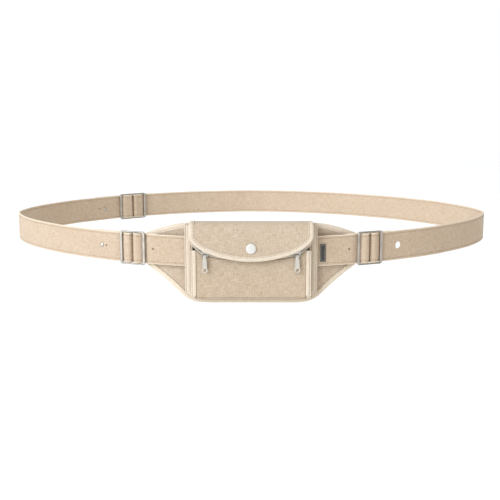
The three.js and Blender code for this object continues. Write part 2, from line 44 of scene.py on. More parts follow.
BACK_POWER, FRONT_POWER = 1.77, 1.57
FLAT_HALF = 62.0
TAIL_DEPTH = 3.05
OUTER_BAR_AT, RAIL_AT = 12.6, 16.0
INNER_BAR_AT, INNER_BAR_OUT, INNER_BAR_RADIUS, INNER_BAR_HALF = 4.2, 1.2, 0.9, 15.6
BACK_SPREAD, FLAT_REACH, CURVED_REACH, STRAIGHT_FROM = 4.6, 14.0, 34.0, 20.0
TAIL_LEFT, TAIL_LEFT_BEHIND, TAIL_BACK, TAIL_WING = 46.0, 54.0, 27.0, 24.0
PANEL_FRONT, PANEL_BACK = 4.4, 7.4
PANEL_TOP, PANEL_BOTTOM, PANEL_TIP = 26.0, -54.0, 104.0
TIP_TOP, TIP_BOTTOM = 14.4, -16.5
BINDING = 5.0
FACE_Y = -LOOP_FRONT + PANEL_FRONT
FLAP_HALF, FLAP_LOWEST, FLAP_CORNER, FLAP_POWER = 59.7, -9.0, 16.0, 1.82
FLAP_UNDER, FLAP_THICK, FLAP_HINGE_Z, FLAP_BEND = 19.2, 1.6, 27.1, 9.0
SNAP_Z = 4.0
ZIP_LOWEST, ZIP_RADIUS, ZIP_BEND_X, ZIP_BEND_RADIUS, ZIP_END_X = -6.4, 210.0, 43.0, 13.0, 57.4
SLIDER_X, PIN_OUT, PIN_DROP = 44.5, 17.8, 1.6
STITCH_PITCH, SEAM_AT, FOLD_AT = 3.0, 12.3, 13.9


# ----- lines -----
def lengths(points):
    """Distance along a line of points, from its first."""
    p = np.asarray(points, float)
    return np.concatenate([[0], np.cumsum(np.linalg.norm(np.diff(p, axis=0), axis=1))])


def circle(x, z, radius, start=0, end=360, steps=24):
    """Points of an arc, between two angles in degrees."""
    angles = np.radians(np.linspace(start, end, steps + 1))
    return [(x + radius * math.cos(a), z + radius * math.sin(a)) for a in angles]


def unit(v):
    return v / np.linalg.norm(v, axis=-1, keepdims=True)


def inward(path, flip=1):
    """Unit normals of a line in a plane, to its left, or to its right if flip is -1."""
    t = unit(np.gradient(path, axis=0))
    return np.stack([-t[:, 1], t[:, 0]], 1) * flip


def even_turns(count):
    """The angles of even steps round a circle, in radians."""
    return np.linspace(0, 2 * math.pi, count, endpoint=False)


def along_line(at, s, line):
    """The values of a line at distances along it, where s is the distance of each of its rows."""
    return np.stack([np.interp(at, s, line[:, k]) for k in range(line.shape[1])], -1)


def loop_line():
    """The strap's middle line seen from above, at even distances, with its points and outward normals."""
    steps, even_steps = 24000, 6000
    flat_end, widest = 0.05, 0.25
    t = np.linspace(0, 1, steps + 1)
    side = np.where(t <= 0.5, 1.0, -1.0)
    half = np.minimum(t, 1 - t)
    front = np.clip((half - flat_end) / (widest - flat_end), 0, 1) * math.pi / 2
    back = np.clip((half - widest) / (0.5 - widest), 0, 1) * math.pi / 2
    quarter = FLAT_HALF + (LOOP_HALF_WIDTH - FLAT_HALF) * np.sin(front) ** (2 / FRONT_POWER)
    x = np.where(half < flat_end, FLAT_HALF * half / flat_end, quarter)
    y = np.where(half < flat_end, -LOOP_FRONT, -LOOP_FRONT * np.abs(np.cos(front)) ** (2 / FRONT_POWER))
    x = np.where(half > widest, LOOP_HALF_WIDTH * np.abs(np.cos(back)) ** (2 / BACK_POWER), x)
    y = np.where(half > widest, LOOP_BACK * np.sin(back) ** (2 / BACK_POWER), y)
    p = np.stack([side * x, y], 1)
    s = lengths(p)
    even = np.linspace(0, s[-1], even_steps + 1)
    p = along_line(even, s, p)
    t = unit(np.roll(p[:-1], -3, 0) - np.roll(p[:-1], 3, 0))
    t = np.vstack([t, t[:1]])
    return even, p, np.stack([t[:, 1], -t[:, 0]], 1)


LOOP_S, LOOP_P, LOOP_N = loop_line()
LOOP_LENGTH = LOOP_S[-1]


def on_loop(along, out):
    """The point at a distance along the loop, and a distance out from it."""
    s = np.mod(along, LOOP_LENGTH)
    return along_line(s, LOOP_S, LOOP_P) + along_line(s, LOOP_S, LOOP_N) * np.asarray(out)[..., None]


def station(x, low, high):
    """The distance along the loop of a place given by its x, between two shares of the way round."""
    pick = (LOOP_S >= low * LOOP_LENGTH) & (LOOP_S <= high * LOOP_LENGTH)
    xs, ss = LOOP_P[pick, 0], LOOP_S[pick]
    order = np.argsort(xs)
    return float(np.interp(x, xs[order], ss[order]))


WIDEST = LOOP_S[int(np.argmax(LOOP_P[:, 0]))] / LOOP_LENGTH
BUCKLES = {
    "front_left": (station(-116.0, 1 - WIDEST, 1), 1, 0.0),
    "front_right": (station(116.2, 0, WIDEST), 1, 0.0),
    "back_left": (station(-158.5, 0.5, 1 - WIDEST), -1, BACK_SPREAD),
}


def on_strap(along, out):
    """The point of a strap: on the loop, but on the flat line through a buckle when near one."""
    point = on_loop(along, out)
    for middle, _, spread in BUCKLES.values():
        away = along - middle
        near = (CURVED_REACH + spread - abs(away)) / (CURVED_REACH - FLAT_REACH)
        if near > 0:
            at = on_loop(middle, 0)
            outward = on_loop(middle, 1) - at
            ahead = np.array([-outward[1], outward[0]])
            share = min(near, 1.0)
            share = share * share * (3 - 2 * share)
            point = point * (1 - share) + (at + ahead * away + outward * out) * share
    return point


# ----- meshes -----
def mesh_points(mesh):
    """A mesh's points, a row for each, in metres."""
    co = np.empty(len(mesh.vertices) * 3)
    mesh.vertices.foreach_get("co", co)
    return co.reshape(-1, 3)


def build(name, verts, faces, corners=None, material=None, sharp=40):
    """A mesh object from points, faces and a UV for each face corner, in millimetres."""
    mesh = bpy.data.meshes.new(name)
    mesh.from_pydata((np.asarray(verts) * MM).tolist(), [], [list(map(int, f)) for f in faces])
    if corners is not None:
        layer = mesh.uv_layers.new(name="cloth")
        layer.data.foreach_set("uv", (np.asarray(corners, float) * MM).ravel())
    mesh.validate()
    obj = bpy.data.objects.new(name, mesh)
    bpy.context.scene.collection.objects.link(obj)
    bm = bmesh.new()
    bm.from_mesh(mesh)
    bmesh.ops.recalc_face_normals(bm, faces=bm.faces)
    bm.to_mesh(mesh)
    bm.free()
    mesh.shade_smooth()
    mesh.set_sharp_from_angle(angle=math.radians(sharp))
    if material:
        mesh.materials.append(material)
    return obj


def tube_parts(rings, u, v, closed=False):
    """Points, faces and corner UVs of a tube through rings of points, capped unless it closes on itself."""
    n, m = rings.shape[:2]
    faces, corners = [], []
    for i in range(n if closed else n - 1):
        k = (i + 1) % n
        for j in range(m):
            q = (j + 1) % m
            faces.append((i * m + j, i * m + q, k * m + q, k * m + j))
            corners += [(u[i], v[j]), (u[i], v[j + 1]), (u[i + 1], v[j + 1]), (u[i + 1], v[j])]
    if not closed:
        for i in (0, n - 1):
            faces.append(tuple(i * m + j for j in range(m)))
            corners += [(u[i], v[j]) for j in range(m)]
    return rings.reshape(-1, 3), faces, corners


def join_parts(parts):
    verts, faces, corners, start = [], [], [], 0
    for v, f, c in parts:
        verts.append(v)
        faces += [tuple(start + k for k in face) for face in f]
        corners += c
        start += len(v)
    return np.concatenate(verts), faces, corners


def slab_parts(front, back, u, v):
    """Points, faces and corner UVs of a closed flat piece between two grids of points."""
    n, m = front.shape[:2]
    index = np.arange(n * m).reshape(n, m)
    faces = []
    for i in range(n - 1):
        for j in range(m - 1):
            a, b, c, d = index[i, j], index[i + 1, j], index[i + 1, j + 1], index[i, j + 1]
            faces += [(a, b, c, d), (a + n * m, d + n * m, c + n * m, b + n * m)]
    ring = [*index[:, 0], *index[-1, 1:], *index[-2::-1, -1], *index[0, -2:0:-1]]
    for a, b in zip(ring, ring[1:] + ring[:1]):
        faces.append((a, a + n * m, b + n * m, b))
    flat = np.stack([np.broadcast_to(u, (n, m)), np.broadcast_to(v, (n, m))], -1).reshape(-1, 2)
    flat = np.concatenate([flat, flat])
    corners = [flat[k] for face in faces for k in face]
    return np.concatenate([front.reshape(-1, 3), back.reshape(-1, 3)]), faces, corners


def curve_through(points, per):
    """A smooth line through points, with a number of steps between each two."""
    p = np.asarray(points, float)
    e = np.vstack([2 * p[0] - p[1], p, 2 * p[-1] - p[-2]])
    out = []
    for i in range(1, len(e) - 2):
        a, b, c, d = e[i - 1 : i + 3]
        for k in range(per):
            t = k / per
            square = (2 * a - 5 * b + 4 * c - d) * t**2
            cube = (3 * b - a - 3 * c + d) * t**3
            out.append(0.5 * (2 * b + (c - a) * t + square + cube))
    out.append(p[-1])
    return np.array(out)


def even_line(points, step):
    p = np.asarray(points, float)
    s = lengths(p)
    at = np.linspace(0, s[-1], max(2, round(s[-1] / step)) + 1)
    return along_line(at, s, p)


def waves(x, z, size, seed):
    """A smooth uneven surface, from -1 to 1."""
    a = 2 * math.pi / size
    return (
        np.sin(a * (x + 0.35 * z) + seed)
        + 0.7 * np.sin(a * (1.7 * z - 0.6 * x) + 2.1 * seed + 1)
        + 0.5 * np.sin(a * (2.3 * x + 1.9 * z) + 1.3 * seed + 4)
    ) / 2.2


# ----- places -----
def panel_place(x, z, out):
    """On the curved panel: x and z as in front view, out from the loop line."""
    x, z, out = np.broadcast_arrays(x, z, out)
    pick = (LOOP_S < WIDEST * LOOP_LENGTH * 0.98) & (LOOP_P[:, 0] >= 0)
    base = np.abs(x)
    for _ in range(4):
        nx = np.interp(base, LOOP_P[pick, 0], LOOP_N[pick, 0])
        base = np.abs(x) - nx * out
    ny = np.interp(base, LOOP_P[pick, 0], LOOP_N[pick, 1])
    y = np.interp(base, LOOP_P[pick, 0], LOOP_P[pick, 1]) + ny * out
    return np.stack([x, y, z], -1)


def pouch_place(x, z, level):
    """On the flat front: x and z, and a distance out from the panel's face."""
    x, z, level = np.broadcast_arrays(x, z, level)
    return np.stack([x, FACE_Y - level, z], -1)


FLAP_SET_BACK = 0.4
FLAP_FLAT = FLAP_UNDER + FLAP_THICK - FLAP_BEND + FLAP_SET_BACK
FLAP_RADIUS = FLAP_BEND - FLAP_THICK / 2
FLAP_TURN = FLAP_RADIUS * math.pi / 2


def flap_place(x, t, off):
    """On the flap: x, the distance from its hinge edge, and the height over its middle layer."""
    x, t, off = np.broadcast_arrays(x, t, off)
    angle = np.clip((t - FLAP_FLAT) / FLAP_TURN, 0, 1) * math.pi / 2
    flat = np.minimum(t, FLAP_FLAT)
    down = np.maximum(t - FLAP_FLAT - FLAP_TURN, 0)
    out = flat - FLAP_SET_BACK + (FLAP_RADIUS + off) * np.sin(angle)
    z = FLAP_HINGE_Z - FLAP_RADIUS + (FLAP_RADIUS + off) * np.cos(angle) - down
    return np.stack([x, FACE_Y - out, z], -1)


def flap_t(z):
    """How far from the hinge edge the flap's hanging part reaches a height."""
    return FLAP_FLAT + FLAP_TURN + (FLAP_HINGE_Z - FLAP_RADIUS) - z


def edge_parts(path, place, profile, flip=1):
    """A band along a line in a flat plane. Its profile is pairs of distance in from the line and height."""
    profile = np.asarray(profile, float)
    xy = path[:, None] + inward(path, flip)[:, None] * profile[:, 0, None]
    rings = place(xy[..., 0], xy[..., 1], profile[:, 1])
    return tube_parts(rings, lengths(path), lengths(np.vstack([profile, profile[:1]])))


THREADS = {}


def stitch(group, path, place, level, pitch=STITCH_PITCH, long=2.2, radius=0.21, sink=0.16, flip_level=1):
    """Sewing stitches along a line in a flat plane, as short bent threads that dip into the cloth."""
    line = even_line(path, 0.5)
    s = lengths(line)
    starts = np.arange(0.4, s[-1] - long, pitch)
    share = np.array([0.0, 0.18, 0.5, 0.82, 1.0])
    at = starts[:, None] + share * long
    a, b = np.interp(at, s, line[:, 0]), np.interp(at, s, line[:, 1])
    lift = np.array([-sink, 0.02, 0.1, 0.02, -sink]) * flip_level
    centre = place(a, b, level + lift)
    up = unit(place(a, b, level + lift + flip_level) - centre)
    beside = np.cross(unit(np.gradient(centre, axis=1)), up)
    thick = radius * np.array([0.35, 0.95, 1.0, 0.95, 0.35])
    turns = even_turns(6)
    for c, n, d in zip(centre, up, beside):
        spoke = np.cos(turns)[:, None] * n[:, None] + np.sin(turns)[:, None] * d[:, None]
        rings = c[:, None] + thick[:, None, None] * spoke
        THREADS.setdefault(group, []).append(tube_parts(rings, share * long, np.linspace(0, 1.2, 7)))


# ----- materials -----
def scaled(tone, share):
    return tuple(c * share for c in tone[:3]) + (1.0,)


def colour(r, g, b):
    """A linear colour from 0-255 display values."""
    return tuple(((c / 255 + 0.055) / 1.055) ** 2.4 for c in (r, g, b)) + (1.0,)


class Nodes:
    def __init__(self, name):
        self.material = bpy.data.materials.new(name)
        self.material.use_nodes = True
        self.tree = self.material.node_tree
        self.shader = self.tree.nodes["Principled BSDF"]

    def add(self, kind, **values):
        node = self.tree.nodes.new(kind)
        for key, value in values.items():
            setattr(node, key, value)
        return node

    def feed(self, socket, value):
        """Gives a socket a plain value or another node's output."""
        if isinstance(value, (int, float, tuple)):
            socket.default_value = value
        else:
            self.tree.links.new(value, socket)

    def finish(self, **inputs):
        """Feeds the shader's inputs, named with _ for a space, and gives the material."""
        for name, value in inputs.items():
            self.feed(self.shader.inputs[name.replace("_", " ")], value)
        return self.material

    def math(self, operation, a, b=None, clamp=False):
        node = self.add("ShaderNodeMath", operation=operation, use_clamp=clamp)
        for socket, value in zip(node.inputs, (a, b)):
            if value is not None:
                self.feed(socket, value)
        return node.outputs[0]

    def plus(self, a, b, clamp=False):
        return self.math("ADD", a, b, clamp)

    def minus(self, a, b):
        return self.math("SUBTRACT", a, b)

    def times(self, a, b, clamp=False):
        return self.math("MULTIPLY", a, b, clamp)

    def mix(self, share, a, b):
        node = self.add("ShaderNodeMix", data_type="RGBA")
        for socket, value in ((node.inputs[0], share), (node.inputs[6], a), (node.inputs[7], b)):
            self.feed(socket, value)
        return node.outputs[2]

    def noise(self, vector, scale, stretch=(1, 1, 1), detail=3.0):
        place = self.add("ShaderNodeVectorMath", operation="MULTIPLY")
        self.feed(place.inputs[0], vector)
        self.feed(place.inputs[1], stretch)
        node = self.add("ShaderNodeTexNoise")
        self.feed(node.inputs["Scale"], scale)
        self.feed(node.inputs["Detail"], detail)
        self.feed(node.inputs["Vector"], place.outputs[0])
        return node.outputs["Fac"]

    def bump(self, height, distance, strength, after=None):
        node = self.add("ShaderNodeBump")
        self.feed(node.inputs["Strength"], strength)
        self.feed(node.inputs["Distance"], distance)
        self.feed(node.inputs["Height"], height)
        if after is not None:
            self.feed(node.inputs["Normal"], after)
        return node.outputs[0]


def woven(name, light, dark, pitch, edge=None, speckle=0.55, rough=0.88, seeds=None):
    """A plain-woven cloth: uneven threads, slubs, soft mottling and, if asked, dark seeds and pale edges."""
    n = Nodes(name)
    uv = n.add("ShaderNodeUVMap", uv_map="cloth").outputs[0]
    split = n.add("ShaderNodeSeparateXYZ")
    n.feed(split.inputs[0], uv)
    warp_wander = n.times(n.noise(uv, 420, detail=1.0), 0.9)
    turns = 2 * math.pi / (pitch * MM)
    across = n.math("SINE", n.plus(n.times(split.outputs[0], turns), warp_wander))
    up = n.math("SINE", n.plus(n.times(split.outputs[1], turns), warp_wander))
    threads = n.times(across, up)
    height = n.plus(n.times(threads, 0.5), 0.5)
    slub_a = n.noise(uv, 1.0, (160, 1500, 1), 2.0)
    slub_b = n.noise(uv, 1.0, (1500, 160, 1), 2.0)
    slubs = n.plus(slub_a, slub_b)
    fine = n.noise(uv, 900, detail=2.0)
    broad = n.noise(uv, 38)
    patches = n.plus(n.noise(uv, 1.0, (230, 700, 1), 2.0), n.noise(uv, 1.0, (700, 230, 1), 2.0))
    tone = n.times(n.minus(slubs, 1.0), 1.5)
    for value, middle, weight in (
        (fine, 0.5, speckle), (patches, 1.0, 0.45), (broad, 0.5, 0.4), (height, 0.5, 0.22)
    ):
        tone = n.plus(tone, n.times(n.minus(value, middle), weight))
    share = n.plus(tone, 0.5, clamp=True)
    base = n.mix(share, colour(*dark), colour(*light))
    if seeds:
        dots = n.times(n.minus(n.noise(uv, 520, detail=1.0), 0.66), 14, clamp=True)
        base = n.mix(n.times(dots, 0.5), base, colour(*seeds))
    if edge:
        near = n.minus(n.math("ABSOLUTE", split.outputs[1]), FOLD_AT * MM)
        mask = n.times(near, 1 / (0.5 * MM), clamp=True)
        base = n.mix(n.times(mask, 0.85), base, colour(*edge))
    uneven = n.plus(n.times(fine, 0.14), rough - 0.07)
    weave = n.bump(n.plus(height, n.times(slubs, 0.5)), 0.00012, 0.7)
    creases = n.bump(broad, 0.0012, 0.35, weave)
    n.finish(Base_Color=base, Roughness=uneven, Normal=creases)
    return n.finish(Sheen_Weight=0.12, Sheen_Roughness=0.5, Specular_IOR_Level=0.2)


def metal(name, tone, rough, wear_scale=90, depth=0.7, painted_shade_from=None):
    """Plated metal: a satin finish, faint wear, fine scratches and, past a height, painted shade on the
    frame's top and bottom rails.
    """
    n = Nodes(name)
    place = n.add("ShaderNodeTexCoord").outputs["Object"]
    wear = n.noise(place, wear_scale, detail=4.0)
    fine = n.noise(place, 1.0, (2600, 2600, 300), 2.0)
    share = n.plus(n.times(n.minus(wear, 0.5), 3.0), 0.6, clamp=True)
    base = n.mix(share, scaled(tone, depth), tone)
    # painted shade: past the height, the frame's top and bottom rails are darkened to stand in for the darker
    # surroundings they reflect
    if painted_shade_from:
        split = n.add("ShaderNodeSeparateXYZ")
        n.feed(split.inputs[0], place)
        above = n.minus(n.math("ABSOLUTE", split.outputs[2]), painted_shade_from * MM)
        mask = n.times(above, 1 / (0.6 * MM), clamp=True)
        base = n.mix(n.times(mask, 0.6), base, scaled(tone, 0.42))
    uneven = n.plus(n.times(fine, 0.24), rough - 0.12)
    return n.finish(Base_Color=base, Roughness=uneven, Metallic=1.0, Normal=n.bump(fine, 0.00002, 0.5))


def enamel(name, tone):
    """A smooth white moulded cap with faint clouding."""
    n = Nodes(name)
    place = n.add("ShaderNodeTexCoord").outputs["Object"]
    cloud = n.noise(place, 160)
    base = n.mix(cloud, scaled(tone, 0.9), tone)
    uneven = n.plus(n.times(cloud, 0.15), 0.2)
    n.finish(Base_Color=base, Roughness=uneven, Normal=n.bump(cloud, 0.00004, 0.3))
    return n.finish(Coat_Weight=0.4, Coat_Roughness=0.12)


def tape(name, light, dark):
    return woven(name, light, dark, 0.45, speckle=0.35, rough=0.8)


def thread(name, light, dark, rough=0.75):
    return woven(name, light, dark, 0.3, speckle=0.3, rough=rough)


SEEDS, STRAP_EDGE = (118, 92, 66), (210, 195, 173)
CANVAS = woven("canvas", (190, 172, 150), (161, 141, 118), 0.62, seeds=SEEDS)
# a darker copy of the canvas for the pocket front: painted shade standing in for the flap's shade over it
SHADED_FRONT_CANVAS = woven("front_canvas_painted_shade", (187, 168, 145), (156, 136, 111), 0.62, seeds=SEEDS)
STRAP_CANVAS = woven("strap_canvas", (190, 170, 147), (167, 145, 119), 0.62, edge=STRAP_EDGE, seeds=SEEDS)
TAPE = tape("edge_tape", (207, 193, 173), (191, 175, 153))
# a lighter copy of the edge tape for the panel's foot: painted light that makes up for the pouch's shadow on
# it
LIT_FOOT_TAPE = tape("foot_tape_painted_light", (212, 197, 176), (197, 181, 157))
THREAD = thread("thread", (220, 206, 186), (202, 186, 163), 0.7)
STRAP_THREAD = thread("strap_thread", (158, 133, 103), (130, 104, 77))
TAN_THREAD = thread("tan_thread", (150, 122, 92), (122, 96, 70))
BUCKLE_METAL = metal("buckle_nickel", (0.5, 0.45, 0.385, 1.0), 0.42, painted_shade_from=15.3)
ZIP_METAL = metal("zip_nickel", (0.46, 0.43, 0.38, 1.0), 0.3, wear_scale=150, depth=0.6)
PULL_METAL = metal("pull_nickel", (0.6, 0.56, 0.49, 1.0), 0.36, wear_scale=70, depth=0.78)
CAP = enamel("cap_white", (0.56, 0.535, 0.49, 1.0))
LABEL_THREAD = thread("label_thread", (196, 194, 188), (168, 166, 160))
LABEL = woven("label_weave", (79, 75, 70), (52, 49, 46), 0.35, speckle=0.5)


def keep(obj, body, slot, *nodes):
    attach(obj, body)
    if nodes:
        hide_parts(*nodes)


def make(name, parts, material, body, slot, *nodes):
    keep(build(name, *parts, material), body, slot, *nodes)


# ----- cloth -----
def settle(obj, held, pressure, cap):
    """Lets a closed cloth piece fill as cloth does, holding its sewn points, and keeps the result."""
    frames = 20
    before = mesh_points(obj.data)
    group = obj.vertex_groups.new(name="sewn")
    group.add([int(k) for k in np.flatnonzero(held)], 1.0, "REPLACE")
    cloth = obj.modifiers.new("Cloth", "CLOTH")
    s = cloth.settings
    s.quality = 8
    s.mass = 0.2
    s.tension_stiffness = s.compression_stiffness = 25
    s.shear_stiffness = 10
    s.bending_stiffness = 0.8
    s.use_pressure = True
    s.uniform_pressure_force = pressure
    s.vertex_group_mass = "sewn"
    s.effector_weights.gravity = 0
    cloth.collision_settings.use_collision = False
    scene = bpy.context.scene
    for number in range(1, frames + 1):
        scene.frame_set(number)
    shown = obj.evaluated_get(bpy.context.evaluated_depsgraph_get())
    move = mesh_points(shown.data) - before
    far = np.linalg.norm(move, axis=1)
    limit = cap * MM
    move *= (limit * np.tanh(far / limit) / np.maximum(far, 1e-9))[:, None]
    obj.modifiers.remove(cloth)
    obj.vertex_groups.remove(group)
    scene.frame_set(1)
    obj.data.vertices.foreach_set("co", (before + move).ravel())
    obj.data.update()


def cut(obj, cutters):
    """Takes closed solids out of a piece."""
    tool = build("cutter", *join_parts(cutters)[:2])
    hole = obj.modifiers.new("Hole", "BOOLEAN")
    hole.operation, hole.solver, hole.object = "DIFFERENCE", "EXACT", tool
    shown = obj.evaluated_get(bpy.context.evaluated_depsgraph_get())
    mesh = bpy.data.meshes.new_from_object(shown)
    old = obj.data
    obj.modifiers.clear()
    obj.data = mesh
    mesh.name = obj.name
    bpy.data.meshes.remove(old)
    bpy.data.objects.remove(tool)
    mesh.set_sharp_from_angle(angle=math.radians(40))


def rod_parts(centre, axis, radius, long, sides=20):
    """A closed rod about a centre, along an axis."""
    axis = unit(np.asarray(axis, float))
    side = unit(np.cross(axis, [0, 0, 1] if abs(axis[2]) < 0.9 else [1, 0, 0]))
    other = np.cross(axis, side)
    turns = even_turns(sides)
    ring = radius * (np.cos(turns)[:, None] * side + np.sin(turns)[:, None] * other)
    rings = np.stack([np.asarray(centre) + ring + axis * k * long / 2 for k in (-1, 1)])
    return tube_parts(rings, [0, long], np.linspace(0, 2 * math.pi * radius, sides + 1))


# ----- straps -----
def turn(buckle, side, tail):
    """A strap's end from its tail, round a buckle's inner bar and out under its outer bar."""
    along, face, spread = BUCKLES[buckle]
    points = [(at, -TAIL_DEPTH) for at in np.arange(tail, 12, -7)]
    points += [(11, -TAIL_DEPTH), (7.5, -2.9), (4.4, -2.75), (2.7, -2.45), (1.6, -1.8), (1.25, -1)]
    points += [(1.4, -0.1), (1.6, 0.8), (1.8, 1.8), (2.3, 2.8), (3.3, 3.45), (4.6, 3.65), (5.8, 3.45)]
    under_bar = [(6.8, 3.05), (8.4, 2.1), (9.9, 0.6), (11.4, -0.5), (13, -0.65), (16.5, -0.3)]
    under_bar.append((STRAIGHT_FROM, 0))
    points += [(a + spread, out) for a, out in under_bar]
    return [on_strap(along + side * a, face * out) for a, out in points]


def run(start, end):
    """Points about 9 mm apart along the loop, between two places and without them."""
    steps = round(abs(end - start) / 9)
    return [on_strap(start + (end - start) * (i + 1) / steps, 0) for i in range(steps - 1)]


def strap_profile():
    """The strap's section, as pairs of height and distance from its middle: folded edges, sewn grooves."""
    half = [(14.95, 0.28), (14.75, 0.72), (14.3, 0.95), (13.6, 1.0), (12.9, 0.96), (SEAM_AT, 0.66)]
    half += [(11.7, 0.93), (10.8, 1.0), (6, 1.02), (0, 1.03)]
    front = half + [(-z, b) for z, b in half[-2::-1]]
    return front + [(z, -b) for z, b in front[::-1]]


def strap(name, centre, drop=None, tacks=()):
    """A strap along a line, sewn across at the tacks. drop is where it sinks from and to, and how far."""
    line = curve_through(centre, 3)
    out = inward(line, -1)
    s = lengths(line)
    profile = np.array(strap_profile())
    lift = 0.12 * waves(s, 0 * s, 70.0, 1.0)
    if drop:
        lift = lift - drop[2] * np.clip((drop[0] - np.abs(line[:, 0])) / (drop[0] - drop[1]), 0, 1)
    sway = 0.1 * waves(s, 0 * s, 45.0, 3.0)
    z = profile[:, 0] + lift[:, None]
    b = profile[:, 1] + sway[:, None] * (1 - (profile[:, 0] / 16) ** 2)
    rings = np.concatenate([line[:, None] + out[:, None] * b[..., None], z[..., None]], -1)
    v = np.append(profile[:, 0], profile[0, 0])
    obj = build(name, *tube_parts(rings, s, v), STRAP_CANVAS)

    def place(along, height, level):
        at = along_line(along, s, line) + along_line(along, s, out) * np.asarray(level)[..., None]
        return np.concatenate([at, (height + np.interp(along, s, lift))[..., None]], -1)

    for height in (SEAM_AT, -SEAM_AT):
        seam = [(1.5, height), (s[-1] - 1.5, height)]
        for side in (1, -1):
            stitch("tan_straps", seam, place, 0.78 * side, 2.6, 1.5, 0.17, flip_level=side)
    for tack in tacks:
        at = s[np.argmin(np.linalg.norm(line - tack, axis=1))]
        stitch("tan_straps", [(at, -11.5), (at, 11.5)], place, 0.98, 2.0, 1.4, 0.17)
    return obj


def hole_at(along, radius):
    """A cutter for a round hole through a strap."""
    at, out = on_loop(along, 0), on_loop(along, 1) - on_loop(along, 0)
    return rod_parts((*at, 0), (*out, 0), radius, 16, 28)


# a stud's distance along the loop, the side its cap shows on, and how far beside it the punched hole is
STUDS = {
    "front_left": (BUCKLES["front_left"][0] - 37, 1, 5.5),
    "back_left": (BUCKLES["back_left"][0] + 42, -1, 7.5),
}
HOLE_AT, HOLE_RADIUS = BUCKLES["front_right"][0] + 34.4, 3.7
STUD_HOLE_RADIUS, PUNCH_RADIUS = 1.7, 0.9
WING_STRAP_START, WING_DROP_FROM, WING_DROP, WING_HOLE_X, TACK_AT = 64.1, 104.0, 1.2, 95.5, 14.9


def make_straps():
    a, b, c = (BUCKLES[k][0] for k in ("front_left", "front_right", "back_left"))
    between = run(c + STRAIGHT_FROM + BACK_SPREAD, a - STRAIGHT_FROM)
    centre = [*turn("back_left", 1, TAIL_LEFT_BEHIND), *between, *turn("front_left", -1, TAIL_LEFT)[::-1]]
    left = strap("left_strap", centre)
    punched = []
    for along, _, beside in STUDS.values():
        punched += [hole_at(along, STUD_HOLE_RADIUS), hole_at(along + beside, PUNCH_RADIUS)]
    cut(left, punched)
    keep(left, "belt", "canvas", "strap_left")
    between = run(b + STRAIGHT_FROM, c - STRAIGHT_FROM - BACK_SPREAD)
    centre = [*turn("front_right", 1, TAIL_BACK), *between, *turn("back_left", -1, TAIL_BACK)[::-1]]
    back = strap("back_strap", centre)
    cut(back, [hole_at(HOLE_AT, HOLE_RADIUS)])
    keep(back, "belt", "canvas", "strap_back")
    for name, buckle, side in (("left", "front_left", 1), ("right", "front_right", -1)):
        along = BUCKLES[buckle][0]
        low, high = (0.0, WIDEST) if side < 0 else (1 - WIDEST, 1.0)
        start = station(-side * WING_STRAP_START, low, high)
        between = run(along + side * STRAIGHT_FROM, start)
        centre = [*turn(buckle, side, TAIL_WING), *between, on_loop(start, 0)]
        drop = (WING_DROP_FROM, WING_STRAP_START, WING_DROP)
        piece = strap("short_strap_" + name, centre, drop, [on_strap(along + side * TACK_AT, 0)])
        cut(piece, [hole_at(station(-side * WING_HOLE_X, low, high), PUNCH_RADIUS)])
        keep(piece, "belt", "canvas", "wing_strap_" + name)


make_straps()


# ----- buckles -----
def signed_power(value, power):
    return math.copysign(abs(value) ** power, value)


def buckle_parts(spread):
    """A frame of one bent flat wire with rounded corners, and two round bars inside the strap's turns."""
    half_x, half_z, corner = OUTER_BAR_AT + spread, RAIL_AT, 2.0
    angles = np.radians([start + 15 * k for start in (0, 90, 180, 270) for k in range(7)])
    normal = np.stack([np.cos(angles), np.sin(angles)], 1)
    quarter = np.repeat([(1, 1), (-1, 1), (-1, -1), (1, -1)], 7, axis=0)
    path = quarter * np.array([half_x - corner, half_z - corner]) + corner * normal
    bar = np.abs(normal[:, 0])
    wide = 1.4 * bar + 0.7 * (1 - bar)
    front, back = -3.2, -1.6 * bar - 0.6 * (1 - bar)
    turns = even_turns(16)
    section = [(signed_power(math.cos(a), 0.6), signed_power(math.sin(a), 0.6)) for a in turns]
    rings = []
    for p, n, w, far in zip(path, normal, wide, back):
        middle, half = (front + far) / 2, (far - front) / 2
        rings.append([(p[0] + n[0] * w * c, middle + half * s, p[1] + n[1] * w * c) for c, s in section])
    u = np.linspace(0, 110, len(rings) + 1)
    parts = [tube_parts(np.array(rings), u, np.linspace(0, 6, 17), closed=True)]
    for side in (-1, 1):
        centre = (side * INNER_BAR_AT, -INNER_BAR_OUT, 0)
        parts.append(rod_parts(centre, (0, 0, 1), INNER_BAR_RADIUS, 2 * INNER_BAR_HALF, 16))
    return join_parts(parts)


def turned_on_loop(parts, along, face):
    """Places a piece drawn with its -Y towards the side that shows."""
    verts, faces, corners = parts
    at = on_loop(along, 0)
    out = (on_loop(along, 1) - at) * face
    a = math.atan2(out[1], out[0]) + math.pi / 2
    x = at[0] + verts[:, 0] * math.cos(a) - verts[:, 1] * math.sin(a)
    y = at[1] + verts[:, 0] * math.sin(a) + verts[:, 1] * math.cos(a)
    return np.stack([x, y, verts[:, 2]], 1), faces, corners


def make_buckles():
    for name, (along, face, spread) in BUCKLES.items():
        parts = turned_on_loop(buckle_parts(spread), along, face)
        make("buckle_frame_" + name, parts, BUCKLE_METAL, "buckle_" + name, "buckle_metal", "buckle_" + name)


make_buckles()


# ----- turned pieces -----
def lathe_parts(profile, sides, z=0.0):
    """A turned piece on a Y axis, from pairs of radius and distance out towards -Y."""
    turns = even_turns(sides)
    rings = []
    for r, out in profile:
        r = max(r, 0.02)
        rings.append([(r * math.cos(a), -out, z + r * math.sin(a)) for a in turns])
    girth = np.linspace(0, 2 * math.pi * profile[1][0], sides + 1)
    return tube_parts(np.array(rings), lengths(profile), girth)


